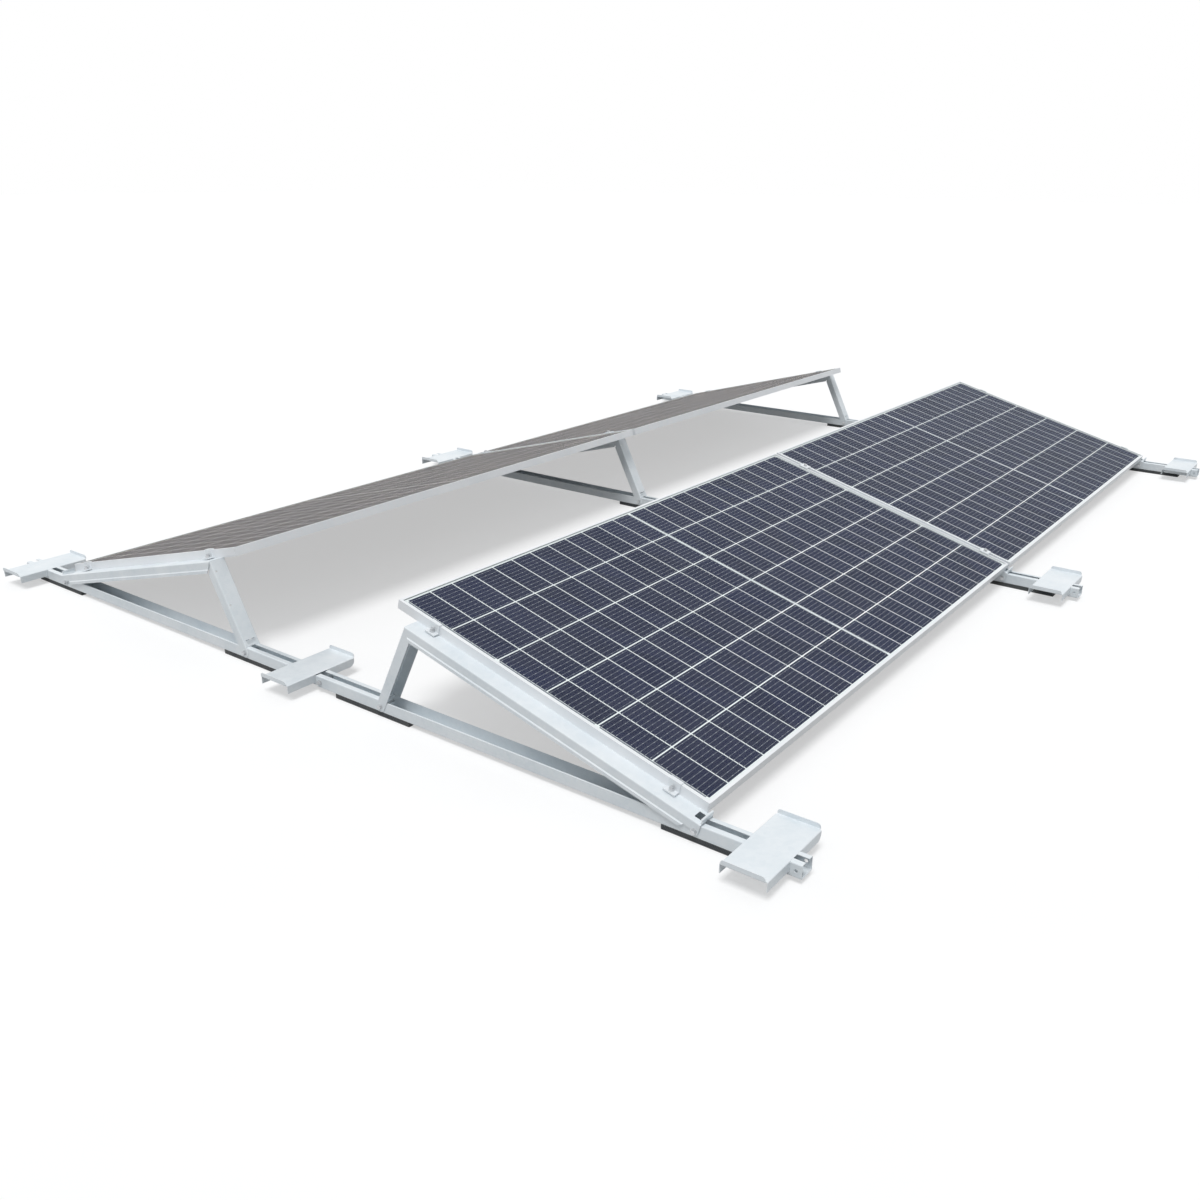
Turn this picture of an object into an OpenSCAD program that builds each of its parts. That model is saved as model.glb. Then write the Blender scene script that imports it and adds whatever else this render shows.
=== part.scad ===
// East-west solar mounting structure for a flat roof. Three ground lines of
// folded steel channel carry four framed modules back to back. Each module
// lies on tilt rails that are bolted to the ground line at the low edge and
// stand on a folded leg at the high edge. Ballast trays lie across the lines.
// X runs east along the base rails, Y along the ridge, Z up, and the origin is
// the middle of the footprint at roof level. East is +X and the front is -Y.

/* [Solar cells] */
// Long side of a half cell, across the slope
cell_long = 182; // [156:0.5:210]
// Short side of a half cell, along the module
cell_short = 91; // [78:0.5:105]
// Gap between columns of cells
col_gap = 2; // [1:0.5:6]
// Gap between rows of half cells
row_gap = 1.5; // [0.5:0.5:4]
// Gap between the two halves of the cell field
mid_gap = 14; // [6:1:30]
// Columns of cells across the slope
cell_cols = 6; // [5:1:6]
// Rows of half cells in each half of a module
cell_rows = 12; // [9:1:12]
// Corner chamfers of a half cell
cell_chamfer = 2.5; // [1:0.5:12]
// Thickness of the cell layer
cell_t = 0.5; // [0.3:0.1:1]

/* [Modules] */
// Glass beyond the cells at the high and low edges
side_margin = 16; // [12:0.5:30]
// Glass beyond the cells at the module's ends
end_margin = 23.5; // [16:0.5:40]
// Height of the module frame
frame_h = 30; // [28:1:45]
// Wall of the frame profile
frame_t = 1.8; // [1.2:0.1:3]
// Width of the frame's lip over the glass
frame_lip_w = 9; // [6:0.5:11]
// Thickness of the lip over the glass
frame_lip_t = 1; // [0.8:0.1:2]
// Width of the ledge under the laminate
frame_ledge_w = 12; // [10:0.5:16]
// Width of the frame's bottom flange
frame_foot_w = 28; // [18:1:36]
// Seam at the frame's mitred corners
frame_seam = 0.3; // [0.2:0.1:0.8]
// Thickness of the front glass
glass_t = 3.2; // [2:0.1:4]
// Thickness of the back sheet with its encapsulant
back_t = 1.3; // [0.8:0.1:2.5]
// Room between the laminate's edge and the frame
glass_clear = 0.5; // [0.3:0.1:2]
// Length of a junction box across the slope
jbox_l = 62; // [40:1:90]
// Width of a junction box
jbox_w = 44; // [30:1:60]
// Depth of a junction box
jbox_h = 15; // [10:1:18]
// Corner radius of a junction box
jbox_r = 6; // [3:1:10]
// Diameter of a junction box's cable exit
gland_d = 9; // [6:0.5:10]
// Length of a junction box's cable exit
gland_l = 10; // [6:1:16]

/* [Layout] */
// Tilt of the modules
tilt = 15; // [10:0.5:17]
// Gap between two modules in a row
module_gap = 20; // [18:1:26]
// Outer line's middle beyond the module's end
line_out = 23; // [22:0.5:27]
// Gap between the east and west base rails
rail_gap = 72; // [50:1:120]

/* [Base rail] */
// Outer width of the base rail
rail_w = 54; // [50:1:70]
// Height of the base rail
rail_h = 40; // [38:1:50]
// Sheet thickness of all folded steel
sheet_t = 2; // [1.5:0.1:2.5]
// Outside radius of every fold
bend_r = 3.5; // [3:0.1:5]
// Width of each lip along the rail's top
lip_w = 17; // [12:0.5:20]
// Leg bolt from the rail's inner end
leg_inset = 300; // [240:5:400]
// Pivot bolt from the rail's outer end
pivot_inset = 300; // [240:5:400]
// End holes from the rail's ends
end_hole_in = 16; // [12:0.5:24]
// Diameter of the end holes
end_hole_d = 10; // [9:0.5:12]
// Lips run past the leg bolt by
lip_past_leg = 9; // [6:1:20]
// Lips start beyond the pivot bolt by
lip_past_pivot = 10; // [8:1:30]
// Length of the splice between east and west rails
splice_l = 460; // [300:10:560]
// Room between the splice's edges and the rail's lips
splice_clear = 0.5; // [0.3:0.1:2]

/* [Tilt rail and leg] */
// Module's high edge beyond the tilt rail
high_overhang = 84; // [60:1:110]
// Room between the module's low edge and the stop
low_gap = 14; // [8:1:20]
// Depth of the tilt rail's flange above the joggle
flange_d = 27; // [24:0.5:30]
// Outward step of the flange's lower strip
joggle = 3; // [2:0.5:4]
// Full depth of the tilt rail's flange
strip_d = 40; // [36:0.5:44]
// Strip stops before the low end by
strip_stop = 46; // [36:1:70]
// Pivot bolt from the tilt rail's low end
pivot_in = 12; // [11:0.5:16]
// Pivot bolt below the tilt rail's top
pivot_drop = 28.6; // [27:0.1:34]
// Radius of the flange's round tab at the pivot
tab_r = 11.5; // [9:0.5:11.5]
// Height of the stop at the low end
stop_h = 15; // [11:0.5:24]
// Width of the stop
stop_w = 54; // [40:1:55]
// Outside radius of the stop's curl
curl_r = 5; // [4:0.5:7]
// Width of the window in front of the stop
window_w = 27; // [16:1:36]
// Length of the window in front of the stop
window_l = 20; // [12:1:26]
// Window from the low end
window_in = 11; // [9:0.5:16]
// Lean of the leg from upright
lean = 27; // [22:0.5:32]
// Depth of the leg channel
leg_d = 35; // [30:1:38]
// Room between the leg's web and the lips it rests on
leg_clear = 0.3; // [0.2:0.1:1]
// Width of the open seam between the flanges of leg and tilt rail
mitre_gap = 3; // [1:0.5:5]
// Seam starts inside the leg's web by
mitre_from = 5; // [4:0.5:8]
// Width of the pressed tab near the leg's foot
tab_w = 35; // [20:1:40]
// Height of the pressed tab
tab_h = 13; // [8:0.5:18]
// Outward push of the tab's free edge
tab_out = 3; // [2:0.5:5]
// Slit above the tab
slit_h = 2.5; // [1.5:0.5:4]
// Solid web below the tab
tab_base = 8; // [5:0.5:14]
// Diameter of the two small holes in the leg's web
pilot_d = 6; // [4:0.5:8]
// Small holes toward the front from the leg's middle
pilot_y = 19.5; // [10:0.5:22]
// Upper small hole below the leg's top
pilot_top = 39; // [20:1:60]
// Distance between the two small holes
pilot_pitch = 122; // [60:1:160]

/* [Clamps] */
// Length of a clamp along the tilt rail
clamp_l = 38; // [30:1:60]
// Thickness of a clamp
clamp_t = 4; // [3:0.5:5]
// Reach of an end clamp's foot
clamp_foot = 22; // [20:0.5:24]
// Top of an end clamp's foot above the tilt rail
clamp_foot_h = 7; // [7:0.5:12]
// Grip of a clamp on the frame
clamp_grip = 9; // [6:0.5:12]
// End clamp bolt from the module's end
clamp_bolt_out = 11; // [11:0.5:12]
// Upper clamps from the module's high edge
clamp_high = 155; // [120:1:300]
// Lower clamps from the module's low edge
clamp_low = 108; // [80:1:300]
// Depth of the middle clamp's ribs between the modules
clamp_rib = 12; // [6:1:20]

/* [Ballast trays] */
// Length of a tray across the line
tray_l = 280; // [220:5:400]
// Width of a tray along the line
tray_w = 130; // [100:5:180]
// Height of the upturned end lips
tray_lip = 16; // [10:1:24]
// Depth of the side flanges
tray_drop = 28; // [20:1:34]
// Radius at the corners of the end lips
tray_r = 9; // [5:0.5:9]
// Radius at the rear corner of each side flange
tray_round = 20; // [10:1:20]
// Room between a side flange and the base rail
tray_clear = 1.5; // [1:0.5:4]
// Outer tray's edge from the rail's end
tray_in = 32; // [26:1:60]
// Middle tray's centre west of the middle
tray_west = 35; // [0:1:60]

/* [Rubber pads] */
// Height of the pads
pad_h = 15; // [10:1:25]
// Length of the pad under the pivot
pad_low_l = 308; // [150:2:400]
// Pivot pad's middle toward the rail's end from the pivot bolt
pad_low_out = 52; // [0:1:60]
// Length of the pad under the leg
pad_leg_l = 330; // [240:2:400]
// Leg pad's middle toward the inner end from the leg bolt
pad_leg_in = 46; // [0:1:60]
// Chamfer along the pads' lower edges
pad_chamfer = 1.5; // [0.5:0.5:4]

/* [Fasteners] */
// Bolt diameter
bolt_d = 8; // [6:0.5:8]
// Width across flats of bolt heads and nuts
bolt_af = 13; // [11:0.5:14]
// Height of bolt heads with their flange
head_h = 8; // [6:0.5:9]
// Diameter of the flange under a bolt head
head_d = 17; // [15:0.5:18]
// Thickness of that flange
head_rim = 1.5; // [1:0.1:2.5]
// Height of the nuts
nut_h = 6.5; // [5:0.5:8]
// Bolt end beyond its nut
bolt_end = 3; // [1:0.5:6]
// Thread above the nut of an end clamp
thread_out = 6; // [2:0.5:12]
// Diameter of the bolt holes
hole_d = 9; // [8.5:0.1:10]
// Outer diameter of the pivot washers
washer_d = 20; // [18:0.5:22]

/* [Hidden] */
$fn = 48;
over = 1;
thread_room = 0.1;
LINES = ["front", "middle", "rear"];
SIDES = ["east", "west"];
ROWS = ["front", "rear"];
TRAYS = ["east", "centre", "west"];

module_w = cell_cols * (cell_long + col_gap) - col_gap + 2 * side_margin;
half_field = cell_rows * (cell_short + row_gap) - row_gap;
module_l = 2 * (half_field + end_margin) + mid_gap;
laminate_z = frame_h - frame_lip_t - glass_t - cell_t - back_t;

leg_out = rail_w + 2 * sheet_t;
tilt_out = leg_out + 2 * sheet_t;
rail_top = pad_h + rail_h;
bolt_z = pad_h + rail_h / 2;
tray_z = rail_top + sheet_t;

// The chain from the leg bolt over the leg and the tilt rail to the pivot
tilt_l = module_w - high_overhang + low_gap + sheet_t;
low_end_x = pivot_drop * sin(tilt) + pivot_in * cos(tilt);
low_end_z = pivot_drop * cos(tilt) - pivot_in * sin(tilt);
leg_bolt_x = rail_gap / 2 + leg_inset;
leg_top = (low_end_z + tilt_l * sin(tilt) - leg_d / 2 * sin(lean)) / cos(lean);
high_end_x = leg_bolt_x - leg_d / 2 * cos(lean) + leg_top * sin(lean);
high_end_z = bolt_z + leg_d / 2 * sin(lean) + leg_top * cos(lean);
pivot_x = high_end_x + tilt_l * cos(tilt) - low_end_x;
rail_end_x = pivot_x + pivot_inset;
slope_x = high_end_x - high_overhang * cos(tilt);
slope_z = high_end_z + high_overhang * sin(tilt);
// Fold from the tilt rail to the leg, and the seam's drop across the leg's depth
fold_angle = lean - tilt;
mitre_drop = (strip_d - leg_d * sin(fold_angle)) / cos(fold_angle);
leg_web_z = (rail_h / 2 + leg_clear - (leg_d / 2 - sheet_t) * sin(lean)) / cos(lean);
outer_tray_x = rail_end_x - tray_in - tray_w / 2;
joint_bolt_l = tilt_out + nut_h + bolt_end;

zinc = [0.80, 0.84, 0.87];
anodised = [0.88, 0.90, 0.92];
silicon = [0.16, 0.17, 0.25];
rubber = [0.17, 0.18, 0.19];

// Places

function line_y(line) =
  line == "middle" ? 0 : (line == "front" ? -1 : 1) * (module_l + module_gap / 2 + line_out);

function row_y(row) = (row == "front" ? -1 : 1) * (module_l + module_gap) / 2;

// Clamp bolts lie between the module's end and the outer edge of the rail
function clamp_y(line) =
  line == "middle" ? 0 : (line == "front" ? 1 : -1) * (line_out - clamp_bolt_out);

module on_side(side) {
  mirror([side == "west" ? 1 : 0, 0, 0]) children();
}

module at_line(line, side = "east") {
  translate([0, line_y(line), 0]) on_side(side) children();
}

// Slope frame: X down the slope from the module's high edge, Z up from the
// top of the tilt rail
module on_slope() {
  translate([slope_x, 0, slope_z]) rotate([0, tilt, 0]) children();
}

module at_module(row, side) {
  translate([0, row_y(row), 0]) on_side(side) on_slope() children();
}

// Leg frame: origin at the leg bolt, Z up the leg, -X toward the walkway
module at_leg() {
  translate([leg_bolt_x, 0, bolt_z]) rotate([0, lean, 0]) children();
}

// Profiles

module along_x(l) {
  rotate([90, 0, 90]) linear_extrude(height = l) children();
}

module along_y(l) {
  rotate([90, 0, 0]) linear_extrude(height = l, center = true) children();
}

module rounded(w, h, r) {
  square([w - 2 * r, h], center = true);
  square([w, h - 2 * r], center = true);
  for (x = [-1, 1], y = [-1, 1])
    translate([x * (w / 2 - r), y * (h / 2 - r)]) circle(r = r);
}

// Plate edge with round lower corners, its straight top at y = 0
module apron(w, h, r) {
  translate([-w / 2, r - h]) square([w, h - r]);
  translate([r - w / 2, -h]) square([w - 2 * r, h]);
  for (x = [-1, 1]) translate([x * (w / 2 - r), r - h]) circle(r = r);
}

// Folded U section, its web on top at y = 0 and its flanges down to -h
module u_section(w, h) {
  intersection() {
    difference() {
      translate([0, -h]) rounded(w, 2 * h, bend_r);
      translate([0, -h]) rounded(w - 2 * sheet_t, 2 * (h - sheet_t), bend_r - sheet_t);
    }
    translate([-w / 2, -h]) square([w, h]);
  }
}

module cross_hole(d) {
  rotate([90, 0, 0]) cylinder(d = d, h = tilt_out + 2 * (joggle + over), center = true);
}

// Base line

module rail_section() {
  translate([0, rail_h / 2]) difference() {
    rounded(rail_w, rail_h, bend_r);
    rounded(rail_w - 2 * sheet_t, rail_h - 2 * sheet_t, bend_r - sheet_t);
    translate([lip_w - rail_w / 2, 0]) square([rail_w - 2 * lip_w, rail_h]);
  }
}

module base_rail() {
  lips_from = leg_bolt_x + lip_past_leg;
  lips_to = pivot_x + lip_past_pivot;
  room = rail_w - 2 * sheet_t;
  color(zinc) difference() {
    translate([rail_gap / 2, 0, pad_h]) along_x(rail_end_x - rail_gap / 2) rail_section();
    translate([lips_from, -room / 2, rail_top - bend_r]) cube([lips_to - lips_from, room, bend_r + over]);
    for (x = [leg_bolt_x, pivot_x]) translate([x, 0, bolt_z]) cross_hole(hole_d);
    for (x = [rail_gap / 2 + end_hole_in, rail_end_x - end_hole_in])
      translate([x, 0, bolt_z]) cross_hole(end_hole_d);
  }
}

module splice() {
  w = rail_w - 2 * sheet_t;
  color(zinc) difference() {
    translate([-splice_l / 2, 0, pad_h + sheet_t]) along_x(splice_l)
      mirror([0, 1]) u_section(w, rail_h - 2 * sheet_t - splice_clear);
    for (side = [-1, 1])
      translate([side * (rail_gap / 2 + end_hole_in), 0, bolt_z]) cross_hole(end_hole_d);
  }
}

module pad(l) {
  color(rubber) translate([-l / 2, 0, 0]) along_x(l) polygon([
    [pad_chamfer - rail_w / 2, 0],
    [rail_w / 2 - pad_chamfer, 0],
    [rail_w / 2, pad_chamfer],
    [rail_w / 2, pad_h],
    [-rail_w / 2, pad_h],
    [-rail_w / 2, pad_chamfer]
  ]);
}

module rubber_pads() {
  for (side = SIDES) on_side(side) {
    translate([pivot_x + pad_low_out, 0, 0]) pad(pad_low_l);
    translate([leg_bolt_x - pad_leg_in, 0, 0]) pad(pad_leg_l);
  }
}

// Side view of a side flange behind the base rail, its free corner round
module rear_flange(l) {
  translate([0, tray_round - tray_drop]) square([l, tray_drop - tray_round]);
  translate([0, -tray_drop]) square([l - tray_round, tray_drop]);
  translate([l - tray_round, tray_round - tray_drop]) circle(r = tray_round);
}

// Ballast tray: side flanges straddle the base rail, end lips turn up
module ballast_tray(x) {
  fold = bend_r + 1;
  flange_from = rail_w / 2 + tray_clear;
  flange_l = tray_l / 2 - fold - flange_from;
  color(zinc) translate([x, 0, tray_z]) {
    intersection() {
      along_y(tray_l) u_section(tray_w, tray_drop);
      translate([-tray_w / 2, 0, 0]) along_x(tray_w) {
        translate([0, -sheet_t / 2]) square([tray_l - 2 * fold, sheet_t], center = true);
        translate([-flange_from - flange_l, -tray_drop]) square([flange_l, tray_drop]);
        translate([flange_from, 0]) rear_flange(flange_l);
      }
    }
    translate([0, 0, -sheet_t]) intersection() {
      translate([-tray_w / 2, 0, 0]) along_x(tray_w) mirror([0, 1]) u_section(tray_l, tray_lip);
      along_y(tray_l) mirror([0, 1]) apron(tray_w - 2 * fold, tray_lip, tray_r);
    }
  }
}

// Tilt rail and leg

// Folded U whose flanges step outward into a lower strip
module tilt_section() {
  u_section(tilt_out, flange_d);
  for (side = [-1, 1]) scale([side, 1]) translate([tilt_out / 2, -flange_d])
    polygon([
      [-sheet_t, 0],
      [0, 0],
      [joggle, -joggle],
      [joggle, flange_d - strip_d],
      [joggle - sheet_t, flange_d - strip_d],
      [joggle - sheet_t, -joggle],
      [-sheet_t, 0]
    ]);
}

// Side view of the flange: the high end is cut along the seam
module flange_outline() {
  mitre = leg_d / cos(fold_angle) - strip_d * tan(fold_angle);
  polygon([
    [0, 0],
    [tilt_l - strip_stop, 0],
    [tilt_l - strip_stop, -flange_d],
    [tilt_l - strip_stop - (strip_d - flange_d), -strip_d],
    [mitre, -strip_d]
  ]);
}

module pivot_outline() {
  translate([tilt_l - strip_stop - over, -flange_d]) square([strip_stop + over, flange_d]);
  translate([tilt_l - 2 * tab_r, -pivot_drop]) square([2 * tab_r, pivot_drop]);
  translate([tilt_l - tab_r, -pivot_drop]) circle(r = tab_r);
}

// The web's end, bent up and curled back over the module's low edge
module stop_outline() {
  translate([-sheet_t, -sheet_t]) square([sheet_t, stop_h + sheet_t - curl_r]);
  translate([-curl_r, stop_h - curl_r]) intersection() {
    difference() {
      circle(r = curl_r);
      circle(r = curl_r - sheet_t);
    }
    square(curl_r);
  }
}

module tilt_rail(bolt_y) {
  color(zinc) on_slope() difference() {
    translate([high_overhang, 0, 0]) {
      intersection() {
        along_x(tilt_l) tilt_section();
        along_y(2 * tilt_out) flange_outline();
      }
      intersection() {
        along_x(tilt_l) u_section(tilt_out, pivot_drop + tab_r);
        along_y(2 * tilt_out) pivot_outline();
      }
      translate([tilt_l, 0, 0]) along_y(stop_w) stop_outline();
    }
    translate([high_overhang + tilt_l - pivot_in, 0, -pivot_drop]) cross_hole(hole_d);
    translate([high_overhang + tilt_l - window_in - window_l, -window_w / 2, -sheet_t - over])
      cube([window_l, window_w, sheet_t + 2 * over]);
    each_clamp() translate([0, bolt_y, -sheet_t - over])
      cylinder(d = hole_d, h = sheet_t + 2 * over);
  }
}

module leg_outline() {
  circle(d = leg_d);
  translate([-leg_d / 2, 0]) square([leg_d, 1.2 * leg_top]);
}

// Side view of what the leg's flanges leave free above the seam
module above_seam() {
  edge = leg_top - mitre_gap / cos(atan2(mitre_drop, leg_d));
  polygon([
    [mitre_from - leg_d / 2, edge - mitre_drop * mitre_from / leg_d],
    [leg_d, edge - 1.5 * mitre_drop],
    [leg_d, 2 * leg_top],
    [mitre_from - leg_d / 2, 2 * leg_top]
  ]);
}

module leg_tab() {
  z = leg_web_z + tab_base;
  along_y(tab_w) translate([-leg_d / 2, 0]) polygon([
    [0, z],
    [-tab_out, z + tab_h],
    [sheet_t - tab_out, z + tab_h],
    [sheet_t, z]
  ]);
}

module leg() {
  reach = 2 * high_end_x;
  tab_z = leg_web_z + tab_base;
  color(zinc) difference() {
    at_leg() {
      difference() {
        intersection() {
          translate([-leg_d / 2, 0, -leg_d]) linear_extrude(height = 2 * leg_d + 1.2 * leg_top)
            rotate(90) u_section(leg_out, leg_d);
          along_y(leg_out) leg_outline();
        }
        translate([-leg_d / 2 - over, -rail_w / 2, -leg_d])
          cube([sheet_t + bend_r + over, rail_w, leg_d + leg_web_z]);
        translate([-leg_d / 2 - over, -tab_w / 2, tab_z])
          cube([sheet_t + 2 * over, tab_w, tab_h + slit_h]);
        for (z = [leg_top - pilot_top, leg_top - pilot_top - pilot_pitch])
          translate([-leg_d / 2, -pilot_y, z]) rotate([0, 90, 0])
            cylinder(d = pilot_d, h = 3 * sheet_t, center = true);
        cross_hole(hole_d);
        along_y(2 * leg_out) above_seam();
      }
      leg_tab();
    }
    on_slope() translate([0, -tilt_out, -sheet_t]) cube([reach, 2 * tilt_out, reach]);
  }
}

// Modules

// Block inset by the same margin from a module's four edges
module inset(margin, from, to) {
  translate([margin, margin - module_l / 2, from])
    cube([module_w - 2 * margin, module_l - 2 * margin, to - from]);
}

module module_frame() {
  color(anodised) difference() {
    inset(0, 0, frame_h);
    inset(frame_lip_w, laminate_z, frame_h + over);
    inset(frame_t, laminate_z, frame_h - frame_lip_t);
    inset(frame_ledge_w, frame_t, laminate_z + over);
    inset(frame_t, frame_t, laminate_z - frame_t);
    inset(frame_foot_w, -over, laminate_z);
    for (x = [0, 1], y = [-1, 1]) translate([x * module_w, y * module_l / 2, -over])
      rotate(y * (2 * x - 1) * 45) translate([-2 * frame_foot_w, -frame_seam / 2, 0])
        cube([4 * frame_foot_w, frame_seam, frame_h + 2 * over]);
  }
}

module module_glass() {
  top = frame_h - frame_lip_t;
  color([0.55, 0.62, 0.70, 0.35]) inset(frame_t + glass_clear, top - glass_t, top);
}

module half_cell() {
  linear_extrude(height = cell_t) polygon([
    [cell_chamfer, 0],
    [cell_long - cell_chamfer, 0],
    [cell_long, cell_chamfer],
    [cell_long, cell_short - cell_chamfer],
    [cell_long - cell_chamfer, cell_short],
    [cell_chamfer, cell_short],
    [0, cell_short - cell_chamfer],
    [0, cell_chamfer]
  ]);
}

module module_cells() {
  color(silicon) for (half = [0, 1], col = [0 : cell_cols - 1], row = [0 : cell_rows - 1])
    mirror([0, half, 0])
      translate([
        side_margin + col * (cell_long + col_gap),
        mid_gap / 2 + row * (cell_short + row_gap),
        laminate_z + back_t
      ]) half_cell();
}

module module_back() {
  color("white") inset(frame_t + glass_clear, laminate_z, laminate_z + back_t);
}

module junction_boxes() {
  color(rubber) for (i = [0 : 2])
    translate([module_w * (2 * i + 1) / 6, 0, laminate_z - jbox_h]) {
      linear_extrude(height = jbox_h) rounded(jbox_l, jbox_w, jbox_r);
      translate([0, 0, jbox_h - gland_d / 2 - sheet_t]) rotate([90, 0, 0])
        cylinder(d = gland_d, h = jbox_w + 2 * gland_l, center = true);
    }
}

// Clamps and fasteners

// Places of the two clamps on one tilt rail, in the slope frame
module each_clamp() {
  for (x = [clamp_high, module_w - clamp_low]) translate([x, 0, 0]) children();
}

// Z section: the nut pulls the foot down, and the lip grips the frame at x = 0
module end_clamp_section() {
  translate([-clamp_foot, clamp_foot_h - clamp_t]) square([clamp_foot, clamp_t]);
  translate([-clamp_t, clamp_foot_h - clamp_t]) square([clamp_t, frame_h - clamp_foot_h + 2 * clamp_t]);
  translate([-clamp_t, frame_h]) square([clamp_t + clamp_grip, clamp_t]);
}

module end_clamps() {
  color(anodised) for (line = ["front", "rear"], side = SIDES) at_line(line, side)
    mirror([0, line == "rear" ? 1 : 0, 0]) on_slope() each_clamp() difference() {
      translate([-clamp_l / 2, line_out, 0]) along_x(clamp_l) end_clamp_section();
      translate([0, line_out - clamp_bolt_out, 0]) cylinder(d = hole_d, h = clamp_foot_h + over);
    }
}

// Hat section: wings grip both frames, ribs reach down between them
module middle_clamp_section() {
  w = module_gap + 2 * clamp_grip;
  translate([-w / 2, frame_h]) square([w, clamp_t]);
  for (side = [-1, 1]) translate([side * (module_gap / 2 - sheet_t) - sheet_t / 2, frame_h - clamp_rib])
    square([sheet_t, clamp_rib]);
}

module middle_clamps() {
  color(anodised) for (side = SIDES) at_line("middle", side) on_slope() each_clamp() difference() {
    translate([-clamp_l / 2, 0, 0]) along_x(clamp_l) middle_clamp_section();
    translate([0, 0, frame_h - over]) cylinder(d = hole_d, h = clamp_t + 2 * over);
  }
}

// Flanged hexagon bolt, seat at z = 0 and shank down
module bolt(l) {
  cylinder(d = head_d, h = head_rim);
  cylinder(d = bolt_af / cos(30), h = head_h, $fn = 6);
  translate([0, 0, -l]) cylinder(d = bolt_d, h = l);
}

module nut() {
  difference() {
    cylinder(d = bolt_af / cos(30), h = nut_h, $fn = 6);
    translate([0, 0, -over]) cylinder(d = bolt_d + thread_room, h = nut_h + 2 * over);
  }
}

// Middle clamps hang on bolts from above, end clamps on bolts from under the rail
module clamp_bolts() {
  seat = frame_h + clamp_t;
  grip = sheet_t + clamp_foot_h + nut_h;
  color(anodised) for (line = LINES, side = SIDES) at_line(line, side) on_slope() each_clamp()
    translate([0, clamp_y(line), 0]) {
      if (line == "middle") translate([0, 0, seat]) bolt(seat + sheet_t + nut_h + bolt_end);
      else translate([0, 0, -sheet_t]) rotate([180, 0, 0]) bolt(grip + thread_out);
    }
}

// Half widths of the joints at the leg, the pivot and the splice
module each_joint() {
  translate([leg_bolt_x, 0, bolt_z]) {
    $half = leg_out / 2;
    children();
  }
  translate([pivot_x, 0, bolt_z]) {
    $half = tilt_out / 2;
    children();
  }
  translate([rail_gap / 2 + end_hole_in, 0, bolt_z]) {
    $half = rail_w / 2;
    children();
  }
}

module joint_bolts() {
  color(anodised) for (line = LINES, side = SIDES) at_line(line, side) each_joint()
    translate([0, -$half, 0]) rotate([90, 0, 0]) bolt(joint_bolt_l);
}

module pivot_washers() {
  color(anodised) for (line = LINES, side = SIDES, face = [-1, 1]) at_line(line, side)
    translate([pivot_x, face * (rail_w + sheet_t) / 2, bolt_z]) rotate([90, 0, 0]) difference() {
      cylinder(d = washer_d, h = sheet_t, center = true);
      cylinder(d = hole_d, h = sheet_t + 2 * over, center = true);
    }
}

module hex_nuts() {
  color(anodised) for (line = LINES, side = SIDES) at_line(line, side) {
    each_joint() translate([0, $half, 0]) rotate([-90, 0, 0]) nut();
    on_slope() each_clamp() translate([0, clamp_y(line), 0])
      translate([0, 0, line == "middle" ? -sheet_t - nut_h : clamp_foot_h]) nut();
  }
}

for (line = LINES) {
  at_line(line) splice();
  at_line(line) rubber_pads();
  at_line(line) ballast_tray(-tray_west);
  for (side = SIDES) {
    at_line(line, side) base_rail();
    at_line(line, side) tilt_rail(clamp_y(line));
    at_line(line, side) leg();
    at_line(line, side) ballast_tray(outer_tray_x);
  }
}
for (row = ROWS, side = SIDES) {
  at_module(row, side) module_frame();
  at_module(row, side) module_glass();
  at_module(row, side) module_cells();
  at_module(row, side) module_back();
  at_module(row, side) junction_boxes();
}
end_clamps();
middle_clamps();
clamp_bolts();
joint_bolts();
pivot_washers();
hex_nuts();
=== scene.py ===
import math

import bmesh
import bpy
from mathutils import Matrix, Vector


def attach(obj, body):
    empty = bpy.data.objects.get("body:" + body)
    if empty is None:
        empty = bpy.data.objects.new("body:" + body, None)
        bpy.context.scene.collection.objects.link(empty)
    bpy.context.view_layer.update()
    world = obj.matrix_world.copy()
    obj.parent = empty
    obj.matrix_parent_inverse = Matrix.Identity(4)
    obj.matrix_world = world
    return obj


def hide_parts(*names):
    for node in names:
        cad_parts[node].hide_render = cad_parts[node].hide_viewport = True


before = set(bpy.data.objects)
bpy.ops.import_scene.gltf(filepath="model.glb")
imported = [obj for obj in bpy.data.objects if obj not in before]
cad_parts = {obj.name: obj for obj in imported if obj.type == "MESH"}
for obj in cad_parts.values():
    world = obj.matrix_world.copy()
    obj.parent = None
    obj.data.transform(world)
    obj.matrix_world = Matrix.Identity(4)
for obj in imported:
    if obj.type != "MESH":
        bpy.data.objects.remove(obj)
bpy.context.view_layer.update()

# Words that the names of the CAD nodes are put together from
LINES = ("front", "middle", "rear")
SIDES = ("east", "west")
ROWS = ("front", "rear")
PLACES = ("east", "centre", "west")

# Sizes that repeat the part's source, in millimetres
MM = 0.001
TILT = math.radians(15)
SLOPE_X, SLOPE_Z = 388.2935, 357.1616
MODULE_W, MODULE_L, MODULE_GAP = 1134.0, 2278.0, 20.0
FRAME_H, FRAME_T, FRAME_LIP_T = 30.0, 1.8, 1.0
GLASS_T, GLASS_CLEAR = 3.2, 0.5
CELL_LONG, CELL_SHORT = 182.0, 91.0
COL_GAP, ROW_GAP, MID_GAP = 2.0, 1.5, 14.0
CELL_COLS, CELL_ROWS = 6, 12
SIDE_MARGIN = 16.0
CELL_TOP = FRAME_H - FRAME_LIP_T - GLASS_T

# Front glass, in millimetres
GLASS_INSET = FRAME_T + GLASS_CLEAR
GLASS_LIFT = 0.2
GROUND_EDGE = 0.6

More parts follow.
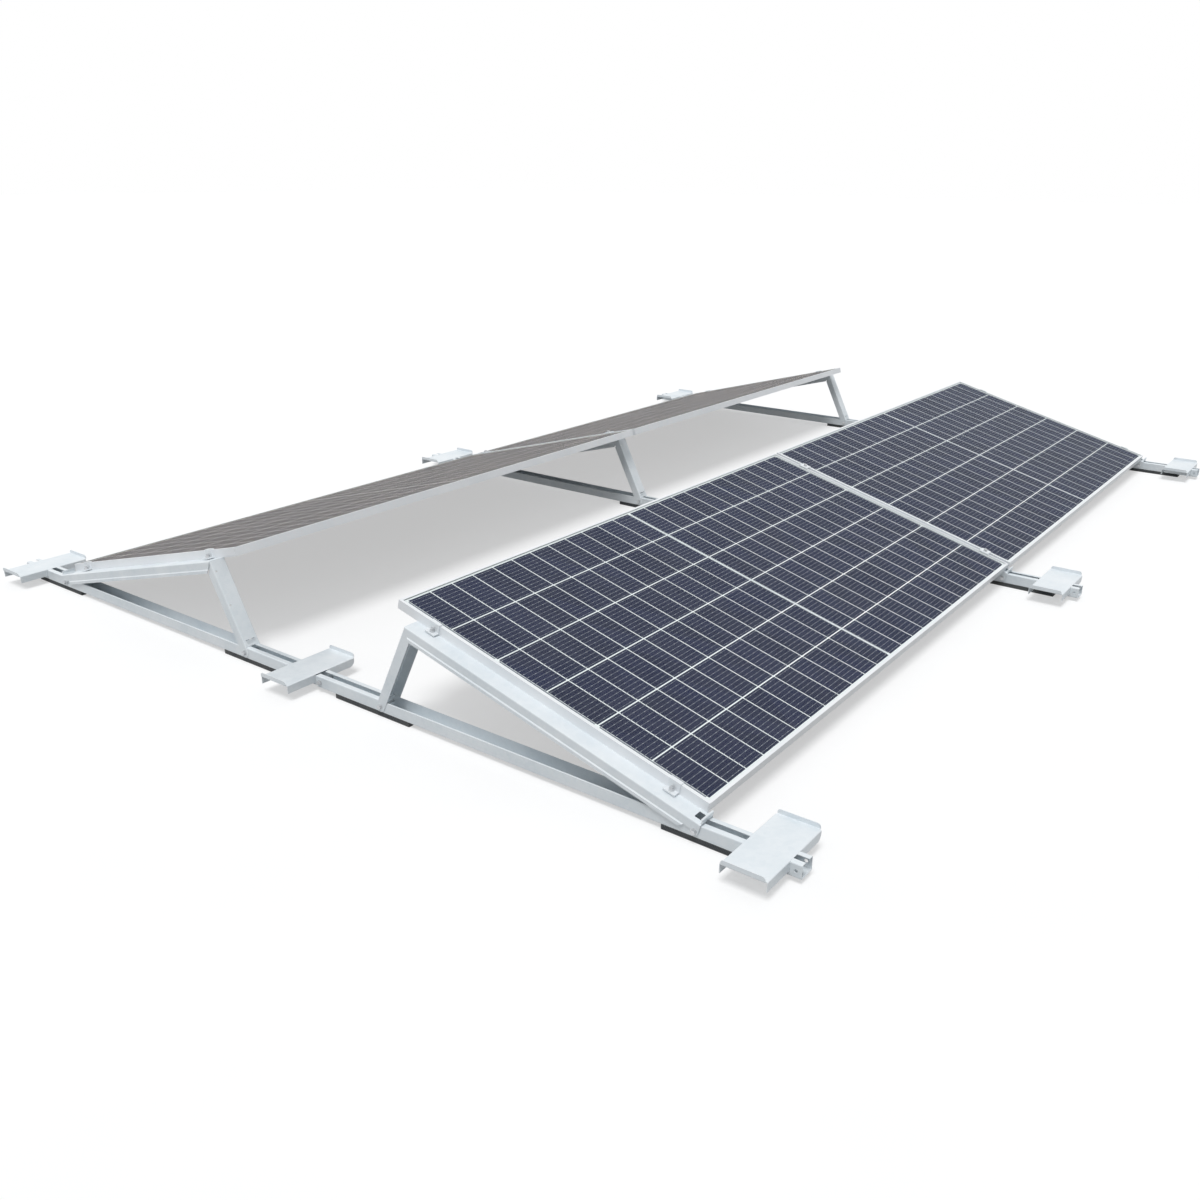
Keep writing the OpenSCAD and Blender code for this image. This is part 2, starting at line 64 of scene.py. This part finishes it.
# Conductors soldered on the cells, in millimetres
RIBBONS, RIBBON_W, RIBBON_T = 11, 1.3, 0.12
RIBBON_PITCH = CELL_LONG / RIBBONS
COLLECTOR_W, COLLECTOR_CLEAR = 5.0, 2.0
CROSS_W, CROSS_CLEAR = 2.0, 1.0
SOLDER_PITCH = 30.3

# White print over the gaps between the cells, in millimetres
GRID_OVER = 1.25
GRID_INSET = GLASS_INSET + 0.7
CORNER_REACH = 5.6

# Heights of the print's faces above the cells, in millimetres
GRID_LOW = 0.01
COLUMN_TOP, CORNER_TOP, ROW_TOP = 0.05, 0.045, 0.04

# Coat of the front glass: Fresnel values that its gloss and its painted sky reflection colour change
# between
COAT_IOR = 1.45
GLOSS_FROM, GLOSS_TO = 0.25, 0.6
GLOSS_LEAST, GLOSS_MOST = 0.027, 0.26
SKY_FROM, SKY_TO = 0.24, 0.5
DUST_SHARE = 0.015

# Noise values that clouds, grain and worn edges change between
CLOUDY = (0.35, 0.7)
GRAINY = (0.3, 0.7)
WORN = (0.35, 0.6)

# How far the bevelled and the plain normal agree on open faces and at sharp edges
EDGE_OPEN, EDGE_SHARP = 0.995, 0.8

# Lamp, sky and floor
KEY_TOWARDS = (-0.12, 0.34, -1)
KEY_STRENGTH, KEY_ANGLE = 2.1, 25
SKY_COLOUR, SKY_STRENGTH = (0.94, 0.97, 1.0, 1), 0.4
WHITE = (1, 1, 1, 1)
FLOOR_HALF, FLOOR_DROP = 60, 0.0005
FLOOR_ROUGH, FLOOR_GLOW = 0.9, 0.48
FLOOR_SEEN, FLOOR_DULL = (0.5, 0.53), (0.2, 0.24)

# The photograph's camera, found from matching points: metres, degrees and sensor millimetres
CAMERA_PLACE = (2.72712, -4.36194, 1.57811)
CAMERA_YAW, CAMERA_PITCH, CAMERA_ROLL = -36.09, 21.69, -0.41
CAMERA_SENSOR, CAMERA_LENS = 36, 33.21
CAMERA_SHIFT = (-0.0188, 0.0063)
CAMERA_REACH = 200

# Corners of a rectangle in turn, and the two ends of a module
RING = ((0, 0), (1, 0), (1, 1), (0, 1))
ENDS = (-1, 1)

# Distance in metres at which the bands of a wave texture of scale 1 come again
WAVE_STEP = math.pi / 10


# Colours

def srgb(r, g, b):
    """A colour given as 0-255 screen values, as the linear RGBA that a socket takes."""
    def linear(c):
        c /= 255
        return c / 12.92 if c <= 0.04045 else ((c + 0.055) / 1.055) ** 2.4
    return (linear(r), linear(g), linear(b), 1.0)


def grey(value):
    """A linear grey."""
    return (value, value, value, 1)


# Places

def side_sign(side):
    """1 to the east, -1 to the west."""
    return 1 if side == "east" else -1


def row_y(row):
    """The middle of a row's modules along the ridge."""
    return (-1 if row == "front" else 1) * (MODULE_L + MODULE_GAP) / 2


def slope_point(side, s, y, z):
    """A point in metres, s down a module's slope from its high edge and z up from the tilt rail."""
    x = side_sign(side) * (SLOPE_X + s * math.cos(TILT) + z * math.sin(TILT))
    return Vector((x, y, SLOPE_Z - s * math.sin(TILT) + z * math.cos(TILT))) * MM


def stretch_along(y, end, near, far):
    """A stretch along a module from near to far of its middle, towards one end."""
    return sorted((y + end * near, y + end * far))


def cell_edges():
    """Where columns and rows of half cells start and end. Rows are counted from the middle."""
    columns = [SIDE_MARGIN + i * (CELL_LONG + COL_GAP) for i in range(CELL_COLS)]
    rows = [MID_GAP / 2 + i * (CELL_SHORT + ROW_GAP) for i in range(CELL_ROWS)]
    return [(a, a + CELL_LONG) for a in columns], [(a, a + CELL_SHORT) for a in rows]


def between(spans):
    """The gaps between spans that follow each other."""
    return [(left[1], right[0]) for left, right in zip(spans, spans[1:])]


# Meshes

def make_piece(name, bm, material):
    """Turns the mesh into a piece on the fixed body, with one material."""
    bmesh.ops.recalc_face_normals(bm, faces=bm.faces[:])
    mesh = bpy.data.meshes.new(name)
    bm.to_mesh(mesh)
    bm.free()
    piece = bpy.data.objects.new(name, mesh)
    bpy.context.scene.collection.objects.link(piece)
    mesh.materials.append(material)
    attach(piece, "root")
    return piece


def stack(bm, rings):
    """A closed solid from rings of corners, one above the other."""
    made = [[bm.verts.new(corner) for corner in ring] for ring in rings]
    count = len(made[0])
    for a, b in zip(made, made[1:]):
        for i in range(count):
            j = (i + 1) % count
            bm.faces.new((a[i], a[j], b[j], b[i]))
    bm.faces.new(made[0][::-1])
    bm.faces.new(made[-1])


def slope_ring(side, s_range, y_range, z):
    """A rectangle's corners in a module's slope frame."""
    return [slope_point(side, s_range[i], y_range[j], z) for i, j in RING]


def slope_bar(bm, side, s_range, y_range, z_range):
    """A bar in a module's slope frame."""
    stack(bm, [slope_ring(side, s_range, y_range, z) for z in z_range])


# Node trees

class Nodes:
    """A node tree in the making."""

    def __init__(self, tree):
        self.tree = tree
        tree.nodes.clear()

    def add(self, kind, links=(), **settings):
        node = self.tree.nodes.new(kind)
        for key, value in settings.items():
            setattr(node, key, value)
        for socket, value in dict(links).items():
            self.feed(node.inputs[socket], value)
        return node

    def feed(self, socket, value):
        """Links an output to the socket, or sets its value."""
        if isinstance(value, bpy.types.NodeSocket):
            self.tree.links.new(value, socket)
        else:
            socket.default_value = value

    def math(self, operation, a, b=0.0, clamp=False):
        node = self.add("ShaderNodeMath", operation=operation, use_clamp=clamp)
        self.feed(node.inputs[0], a)
        self.feed(node.inputs[1], b)
        return node.outputs["Value"]

    def blend(self, share, under, over):
        """One shader over another by a share."""
        node = self.add("ShaderNodeMixShader", {"Fac": share})
        self.feed(node.inputs[1], under)
        self.feed(node.inputs[2], over)
        return node.outputs["Shader"]

    def shown_rays(self):
        """1 for rays that show the background: from the camera, from gloss and through glass."""
        path = self.add("ShaderNodeLightPath").outputs
        both = self.math("ADD", path["Is Camera Ray"], path["Is Glossy Ray"], clamp=True)
        return self.math("ADD", both, path["Is Transmission Ray"], clamp=True)

    def end(self, kind, surface):
        self.tree.links.new(surface, self.add(kind).inputs["Surface"])


class Shader(Nodes):
    """One node material in the making. Object coordinates are metres in the part's frame."""

    def __init__(self, name):
        self.material = bpy.data.materials.new(name)
        self.material.use_nodes = True
        super().__init__(self.material.node_tree)
        self.where = self.add("ShaderNodeTexCoord").outputs["Object"]

    def stretch(self, turn=(0, 0, 0), scale=(1, 1, 1)):
        links = {"Vector": self.where, "Rotation": turn, "Scale": scale}
        return self.add("ShaderNodeMapping", links).outputs["Vector"]

    def noise(self, scale, detail=3.0, rough=0.5, where=None):
        links = {"Vector": where or self.where, "Scale": scale, "Detail": detail, "Roughness": rough}
        return self.add("ShaderNodeTexNoise", links).outputs["Fac"]

    def flakes(self, scale):
        """A shade of its own for each flake or crumb, from 0 to 1."""
        links = {"Vector": self.where, "Scale": scale}
        return self.remap(self.add("ShaderNodeTexVoronoi", links).outputs["Color"], 0, 1)

    def waves(self, scale, turn, wobble):
        links = {"Vector": self.stretch(turn), "Scale": scale, "Distortion": wobble}
        links.update({"Detail": 2.0, "Detail Scale": 3.0})
        return self.add("ShaderNodeTexWave", links, bands_direction="X").outputs["Fac"]

    def remap(self, value, low, high, to_low=0.0, to_high=1.0):
        links = {"Value": value, "From Min": low, "From Max": high, "To Min": to_low, "To Max": to_high}
        return self.add("ShaderNodeMapRange", links).outputs["Result"]

    def rough(self, grain, low, high):
        """A roughness that follows a noise."""
        return self.remap(grain, *GRAINY, low, high)

    def mix(self, share, a, b):
        node = self.add("ShaderNodeMix", data_type="RGBA")
        self.feed(node.inputs["Factor"], share)
        colours = [i for i in node.inputs if i.type == "RGBA"]
        self.feed(colours[0], a)
        self.feed(colours[1], b)
        return [o for o in node.outputs if o.type == "RGBA"][0]

    def edges(self, radius):
        """How near a point is to a sharp edge: 0 on open faces, 1 at the edge."""
        soft = self.add("ShaderNodeBevel", {"Radius": radius}, samples=4).outputs["Normal"]
        plain = self.add("ShaderNodeNewGeometry").outputs["Normal"]
        dot = self.add("ShaderNodeVectorMath", operation="DOT_PRODUCT")
        self.feed(dot.inputs[0], soft)
        self.feed(dot.inputs[1], plain)
        return self.remap(dot.outputs["Value"], EDGE_OPEN, EDGE_SHARP)

    def worn(self, base, colour, radius, patches):
        """The base colour with edges of another colour, in patches."""
        return self.mix(self.math("MULTIPLY", self.edges(radius), patches), base, colour)

    def bump(self, height, strength, distance):
        links = {"Height": height, "Strength": strength, "Distance": distance}
        return self.add("ShaderNodeBump", links).outputs["Normal"]

    def principled(self, **links):
        """A principled shader. An underscore in a keyword stands for a space in the socket's name."""
        names = {key.replace("_", " "): value for key, value in links.items()}
        return self.add("ShaderNodeBsdfPrincipled", names).outputs["BSDF"]

    def finish(self, surface):
        self.end("ShaderNodeOutputMaterial", surface)
        return self.material


# Materials

def galvanised():
    """Hot-dip zinc: faint spangle, cloudy patina and bright sheared edges."""
    s = Shader("galvanised")
    spangle = s.flakes(scale=75)
    cloud = s.remap(s.noise(scale=7, detail=4, rough=0.6), *CLOUDY)
    base = s.mix(cloud, srgb(222, 230, 235), srgb(236, 241, 244))
    base = s.mix(s.math("MULTIPLY", spangle, 0.3), base, srgb(246, 249, 251))
    patches = s.remap(s.noise(scale=120), *WORN)
    base = s.worn(base, srgb(252, 252, 252), radius=0.0015, patches=patches)
    fine = s.rough(s.noise(scale=300, detail=2), -0.04, 0.04)
    rough = s.math("ADD", s.remap(spangle, 0, 1, 0.40, 0.52), fine)
    height = s.math("ADD", s.noise(scale=500), s.math("MULTIPLY", spangle, 0.4))
    return s.finish(s.principled(
        Base_Color=base, Metallic=0.25, Roughness=rough, Specular_IOR_Level=0.3,
        Normal=s.bump(height, strength=0.25, distance=0.0003)))


def anodised():
    """Satin anodised aluminium of the module frames."""
    s = Shader("anodised")
    grain = s.noise(scale=900, detail=2)
    drift = s.remap(s.noise(scale=5), *GRAINY)
    base = s.mix(drift, srgb(236, 239, 242), srgb(244, 246, 248))
    patches = s.remap(s.noise(scale=90), 0.4, 0.65)
    base = s.worn(base, srgb(253, 253, 253), radius=0.001, patches=patches)
    return s.finish(s.principled(
        Base_Color=base, Metallic=0.2, Roughness=s.rough(grain, 0.34, 0.46), Specular_IOR_Level=0.3,
        Normal=s.bump(grain, strength=0.12, distance=0.0001)))


def clamp_metal():
    """Mill-finish aluminium of the clamps, with handling marks."""
    s = Shader("clamp_metal")
    marks = s.noise(scale=1, detail=3, rough=0.6, where=s.stretch(scale=(60, 500, 500)))
    base = s.mix(s.remap(marks, *CLOUDY), srgb(228, 233, 237), srgb(242, 245, 247))
    patches = s.remap(s.noise(scale=200), *WORN)
    base = s.worn(base, srgb(253, 253, 253), radius=0.001, patches=patches)
    return s.finish(s.principled(
        Base_Color=base, Metallic=0.25, Roughness=s.rough(marks, 0.32, 0.5),
        Normal=s.bump(marks, strength=0.2, distance=0.0002)))


def stainless():
    """Stainless bolts, nuts and washers, a little dull."""
    s = Shader("stainless")
    stain = s.noise(scale=110, detail=4, rough=0.6)
    base = s.mix(s.remap(stain, *CLOUDY), srgb(192, 194, 197), srgb(222, 224, 226))
    patches = s.remap(s.noise(scale=400, detail=2), 0.3, 0.6)
    base = s.worn(base, srgb(238, 238, 236), radius=0.0008, patches=patches)
    grain = s.noise(scale=900, detail=2)
    return s.finish(s.principled(
        Base_Color=base, Metallic=0.75, Roughness=s.rough(stain, 0.25, 0.42),
        Normal=s.bump(grain, strength=0.15, distance=0.0001)))


def rubber():
    """Bonded rubber granulate: fine crumbs in several greys with dust on the edges."""
    s = Shader("rubber")
    crumbs = s.flakes(scale=260)
    rows = s.waves(scale=52, turn=(0, math.radians(40), 0), wobble=1.5)
    base = s.mix(crumbs, srgb(42, 44, 46), srgb(68, 71, 74))
    base = s.mix(s.math("MULTIPLY", rows, 0.6), base, srgb(112, 115, 118))
    dust = s.remap(s.noise(scale=14, detail=4, rough=0.6), 0.45, 0.75)
    base = s.mix(s.math("MULTIPLY", dust, 0.35), base, srgb(128, 128, 124))
    patches = s.remap(s.noise(scale=160), 0.35, 0.65, 0, 0.6)
    base = s.worn(base, srgb(110, 112, 112), radius=0.003, patches=patches)
    height = s.math("ADD", s.math("ADD", crumbs, rows), s.noise(scale=700, detail=2))
    return s.finish(s.principled(
        Base_Color=base, Roughness=s.remap(crumbs, 0, 1, 0.78, 0.95),
        Normal=s.bump(height, strength=0.7, distance=0.0012)))


def silicon():
    """Dark blue cell face, with a shade of its own for each cell."""
    s = Shader("silicon")
    own = s.add("ShaderNodeNewGeometry").outputs["Random Per Island"]
    base = s.mix(own, srgb(24, 30, 58), srgb(33, 39, 71))
    cloud = s.remap(s.noise(scale=30), *CLOUDY)
    base = s.mix(s.math("MULTIPLY", cloud, 0.4), base, srgb(41, 45, 73))
    rough = s.rough(s.noise(scale=600, detail=2), 0.38, 0.5)
    return s.finish(s.principled(
        Base_Color=base, Roughness=rough, Specular_IOR_Level=0.05,
        Normal=s.bump(s.noise(scale=2500, detail=1), strength=0.1, distance=0.00005)))


def ribbon_metal():
    """Tinned copper of the busbars, with a brighter solder point at even steps."""
    s = Shader("ribbon_metal")
    tin = s.noise(scale=200)
    base = s.mix(tin, srgb(108, 112, 126), srgb(128, 132, 144))
    points = s.waves(scale=WAVE_STEP / (SOLDER_PITCH * MM), turn=(0, 0, math.pi / 2), wobble=0.0)
    base = s.mix(s.remap(points, 0.86, 0.97), base, srgb(200, 202, 209))
    grain = s.noise(scale=1500, detail=2)
    return s.finish(s.principled(
        Base_Color=base, Metallic=0.3, Roughness=s.rough(tin, 0.35, 0.5),
        Normal=s.bump(grain, strength=0.2, distance=0.00005)))


def back_sheet():
    """White polymer sheet behind the cells, faintly embossed."""
    s = Shader("back_sheet")
    base = s.mix(s.noise(scale=9), srgb(222, 224, 226), srgb(236, 237, 238))
    rough = s.rough(s.noise(scale=240, detail=2), 0.5, 0.64)
    emboss = s.noise(scale=800, detail=2)
    return s.finish(s.principled(
        Base_Color=base, Roughness=rough, Normal=s.bump(emboss, strength=0.2, distance=0.0001)))


def white_grid():
    """White ceramic print on the inner face of the glass."""
    s = Shader("white_grid")
    grain = s.noise(scale=700, detail=2)
    base = s.mix(s.noise(scale=12), srgb(246, 247, 249), srgb(253, 253, 254))
    return s.finish(s.principled(
        Base_Color=base, Roughness=s.rough(grain, 0.42, 0.55),
        Normal=s.bump(grain, strength=0.1, distance=0.00005)))


def black_plastic():
    """Moulded black housing, with paler edges."""
    s = Shader("black_plastic")
    grain = s.noise(scale=900, detail=2)
    base = s.mix(s.remap(s.noise(scale=40), *CLOUDY), srgb(28, 29, 31), srgb(44, 45, 47))
    base = s.worn(base, srgb(84, 86, 88), radius=0.0015, patches=0.5)
    return s.finish(s.principled(
        Base_Color=base, Roughness=s.rough(grain, 0.45, 0.62),
        Normal=s.bump(grain, strength=0.4, distance=0.0002)))


def coated_glass(s):
    """Clear glass with a coat on its outer face, so that it shines little but at grazing angles; its gloss
    carries a painted sky reflection.
    """
    clear = s.add("ShaderNodeBsdfTransparent", {"Color": (0.97, 0.985, 0.98, 1)}).outputs["BSDF"]
    grazing = s.add("ShaderNodeFresnel", {"IOR": COAT_IOR}).outputs["Fac"]
    # Painted reflection: the gloss colour is pale blue face-on and a streaked warm tan at grazing angles,
    # standing in for reflected sky and horizon
    painted_reflection_streaks = s.noise(scale=1, detail=3, rough=0.6, where=s.stretch(scale=(30, 3, 30)))
    painted_low_sky_reflection = s.mix(s.remap(painted_reflection_streaks, 0.35, 0.65), srgb(170, 156, 138), srgb(202, 187, 168))
    shine = s.add("ShaderNodeBsdfAnisotropic", {
        "Color": s.mix(s.remap(grazing, SKY_FROM, SKY_TO), (0.92, 0.95, 1, 1), painted_low_sky_reflection),
        "Roughness": s.remap(s.noise(scale=18, detail=4, rough=0.6), 0.3, 0.75, 0.12, 0.26),
        "Normal": s.bump(s.noise(scale=900, detail=2), strength=0.08, distance=0.0001),
    })
    outer = s.math("SUBTRACT", 1.0, s.add("ShaderNodeNewGeometry").outputs["Backfacing"])
    gloss = s.remap(grazing, GLOSS_FROM, GLOSS_TO, GLOSS_LEAST, GLOSS_MOST)
    return s.blend(s.math("MULTIPLY", gloss, outer), clear, shine.outputs["BSDF"])


def solar_glass():
    """Low-iron glass with an anti-reflection coat and a breath of dust."""
    s = Shader("solar_glass")
    dust = s.add("ShaderNodeBsdfDiffuse", {"Color": srgb(190, 186, 178)}).outputs["BSDF"]
    film = s.remap(s.noise(scale=6, detail=5, rough=0.6), 0.35, 0.8)
    return s.finish(s.blend(s.math("MULTIPLY", film, DUST_SHARE), coated_glass(s), dust))


ZINC = galvanised()
ANODISED = anodised()
CLAMP = clamp_metal()
STEEL = stainless()
RUBBER = rubber()
SILICON = silicon()
RIBBON = ribbon_metal()
BACK = back_sheet()
PLASTIC = black_plastic()
GLASS = solar_glass()
GRID = white_grid()


def dress(material, *words):
    """Gives the CAD node whose name these words make its finished material."""
    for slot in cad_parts["_".join(words)].material_slots:
        slot.material = material


def dress_frame():
    """Gives each CAD node that shows its material."""
    for line in LINES:
        dress(ZINC, "splice", line)
        dress(RUBBER, "rubber_pads", line)
        for place in PLACES:
            dress(ZINC, "ballast_tray", line, place)
        for side in SIDES:
            for part in ("base_rail", "tilt_rail", "leg"):
                dress(ZINC, part, line, side)
    for row in ROWS:
        for side in SIDES:
            dress(ANODISED, "module_frame", row, side)
            dress(SILICON, "module_cells", row, side)
            dress(BACK, "module_back", row, side)
            dress(PLASTIC, "junction_boxes", row, side)
    for part in ("clamp_bolts", "joint_bolts", "pivot_washers", "hex_nuts"):
        dress(STEEL, part)
    for part in ("end_clamps", "middle_clamps"):
        dress(CLAMP, part)


# Pieces

def glass_piece(row, side):
    """The front glass with ground edges, a hair above the cells."""
    low, high = CELL_TOP + GLASS_LIFT, FRAME_H - FRAME_LIP_T
    levels = ((low, GROUND_EDGE), (low + GROUND_EDGE, 0), (high - GROUND_EDGE, 0), (high, GROUND_EDGE))
    start, stop = row_y(row) - MODULE_L / 2, row_y(row) + MODULE_L / 2
    rings = []
    for z, cut in levels:
        near = GLASS_INSET + cut
        rings.append(slope_ring(side, (near, MODULE_W - near), (start + near, stop - near), z))
    bm = bmesh.new()
    stack(bm, rings)
    piece = make_piece("_".join(("front_glass", row, side)), bm, GLASS)
    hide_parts("_".join(("module_glass", row, side)))


def column_ribbons(bm, side, column, y_range, z_range):
    """The busbars along one column of half cells."""
    for i in range(RIBBONS):
        middle = column[0] + (i + 0.5) * RIBBON_PITCH
        slope_bar(bm, side, (middle - RIBBON_W / 2, middle + RIBBON_W / 2), y_range, z_range)


def cell_ribbons(row, side):
    """Busbars along each column of half cells, and the collectors that join the columns."""
    bm = bmesh.new()
    y = row_y(row)
    columns, rows = cell_edges()
    z_range = (CELL_TOP, CELL_TOP + RIBBON_T)
    inner = MID_GAP / 2 - CROSS_W / 2
    edge = rows[-1][1] + COLLECTOR_CLEAR
    outer = edge + COLLECTOR_W
    for end in ENDS:
        for column in columns:
            column_ribbons(bm, side, column, stretch_along(y, end, inner, outer), z_range)
        for left, right in zip(columns[::2], columns[1::2]):
            run = (left[0] + RIBBON_PITCH / 2, right[1] - RIBBON_PITCH / 2)
            slope_bar(bm, side, run, stretch_along(y, end, edge, outer), z_range)
        reach = (SIDE_MARGIN + RIBBON_PITCH / 2, MODULE_W - SIDE_MARGIN - RIBBON_PITCH / 2)
        cross = stretch_along(y, end, inner - CROSS_CLEAR, inner - CROSS_CLEAR - CROSS_W)
        slope_bar(bm, side, reach, cross, z_range)
    make_piece("_".join(("busbars", row, side)), bm, RIBBON)


def grid_levels(top):
    """The lower and upper face of a line of the print."""
    return (CELL_TOP + GRID_LOW, CELL_TOP + top)


def corner_print(bm, side, s, y):
    """The small square on its corner where four bevelled cells meet."""
    reach = CORNER_REACH
    corners = ((-reach, 0), (0, -reach), (reach, 0), (0, reach))
    stack(bm, [
        [slope_point(side, s + across, y + along, z) for across, along in corners]
        for z in grid_levels(CORNER_TOP)
    ])


def column_prints(bm, side, columns, y_range):
    """The print between the columns and along both side margins."""
    spans = [(low - GRID_OVER, high + GRID_OVER) for low, high in between(columns)]
    spans.append((GRID_INSET, columns[0][0]))
    spans.append((columns[-1][1], MODULE_W - GRID_INSET))
    for span in spans:
        slope_bar(bm, side, span, y_range, grid_levels(COLUMN_TOP))


def row_prints(bm, side, y, end, last):
    """The print between the rows of one half of a module, and along its end margin."""
    columns, rows = cell_edges()
    across = (GRID_INSET, MODULE_W - GRID_INSET)
    for low, high in between(rows):
        span = stretch_along(y, end, low - GRID_OVER, high + GRID_OVER)
        slope_bar(bm, side, across, span, grid_levels(ROW_TOP))
        for left, right in between(columns):
            corner_print(bm, side, (left + right) / 2, y + end * (low + high) / 2)
    slope_bar(bm, side, across, stretch_along(y, end, rows[-1][1], last), grid_levels(ROW_TOP))


def glass_grid(row, side):
    """The white print over the gaps, the margins and the middle strip."""
    bm = bmesh.new()
    y = row_y(row)
    columns, _ = cell_edges()
    last = MODULE_L / 2 - GRID_INSET
    column_prints(bm, side, columns, (y - last, y + last))
    strip = (y - MID_GAP / 2, y + MID_GAP / 2)
    slope_bar(bm, side, (GRID_INSET, MODULE_W - GRID_INSET), strip, grid_levels(ROW_TOP))
    for end in ENDS:
        row_prints(bm, side, y, end, last)
    make_piece("_".join(("glass_grid", row, side)), bm, GRID)


def build_pieces():
    for row in ROWS:
        for side in SIDES:
            glass_piece(row, side)
            cell_ribbons(row, side)
            glass_grid(row, side)


# Stage, light and camera

def floor_material():
    """White where it shows, with the object's shadow, and a dull grey for the light that it sends back."""
    s = Shader("floor")
    tone = s.mix(s.noise(scale=2, detail=2), grey(FLOOR_SEEN[0]), grey(FLOOR_SEEN[1]))
    bright = s.add("ShaderNodeAddShader")
    s.feed(bright.inputs[0], s.principled(Base_Color=tone, Roughness=FLOOR_ROUGH))
    glow = s.add("ShaderNodeEmission", {"Color": WHITE, "Strength": FLOOR_GLOW})
    s.feed(bright.inputs[1], glow.outputs["Emission"])
    tone = s.mix(s.noise(scale=2, detail=2), grey(FLOOR_DULL[0]), grey(FLOOR_DULL[1]))
    dull = s.principled(Base_Color=tone, Roughness=FLOOR_ROUGH)
    return s.finish(s.blend(s.shown_rays(), dull, bright.outputs["Shader"]))


def floor():
    """A wide plane just under the object."""
    corners = [(FLOOR_HALF * (2 * i - 1), FLOOR_HALF * (2 * j - 1), 0) for i, j in RING]
    mesh = bpy.data.meshes.new("floor")
    mesh.from_pydata(corners, [], [(0, 1, 2, 3)])
    plane = bpy.data.objects.new("floor", mesh)
    plane.location.z = -FLOOR_DROP
    bpy.context.scene.collection.objects.link(plane)
    mesh.materials.append(floor_material())


def sky():
    """A soft sky that lights the object, and plain white for the rays that show it."""
    world = bpy.data.worlds.new("studio")
    bpy.context.scene.world = world
    world.use_nodes = True
    n = Nodes(world.node_tree)
    light = n.add("ShaderNodeBackground", {"Color": SKY_COLOUR, "Strength": SKY_STRENGTH})
    white = n.add("ShaderNodeBackground", {"Color": WHITE, "Strength": 1.0})
    both = n.blend(n.shown_rays(), light.outputs["Background"], white.outputs["Background"])
    n.end("ShaderNodeOutputWorld", both)


def sun():
    """One broad lamp, left out of glossy reflections, because flat zinc would clip to white in them."""
    data = bpy.data.lights.new("key", "SUN")
    data.energy = KEY_STRENGTH
    data.angle = math.radians(KEY_ANGLE)
    lamp = bpy.data.objects.new("key", data)
    lamp.visible_glossy = False
    lamp.rotation_mode = "QUATERNION"
    lamp.rotation_quaternion = Vector(KEY_TOWARDS).to_track_quat("-Z", "Y")
    bpy.context.scene.collection.objects.link(lamp)


def camera_turn():
    """The camera's rotation from its yaw, pitch and roll."""
    yaw, pitch, roll = (math.radians(a) for a in (CAMERA_YAW, CAMERA_PITCH, CAMERA_ROLL))
    level = math.cos(pitch)
    forward = Vector((math.sin(yaw) * level, math.cos(yaw) * level, -math.sin(pitch)))
    right = forward.cross(Vector((0, 0, 1))).normalized()
    down = forward.cross(right)
    tilted_right = right * math.cos(roll) + down * math.sin(roll)
    tilted_down = down * math.cos(roll) - right * math.sin(roll)
    return Matrix((tilted_right, -tilted_down, -forward)).transposed().to_quaternion()


def camera():
    data = bpy.data.cameras.new("camera")
    data.sensor_width = CAMERA_SENSOR
    data.lens = CAMERA_LENS
    data.shift_x, data.shift_y = CAMERA_SHIFT
    data.clip_end = CAMERA_REACH
    cam = bpy.data.objects.new("camera", data)
    cam.location = CAMERA_PLACE
    cam.rotation_mode = "QUATERNION"
    cam.rotation_quaternion = camera_turn()
    bpy.context.scene.collection.objects.link(cam)
    bpy.context.scene.camera = cam


camera()
floor()
sky()
sun()
dress_frame()
build_pieces()
bpy.context.scene.view_settings.view_transform = "Standard"
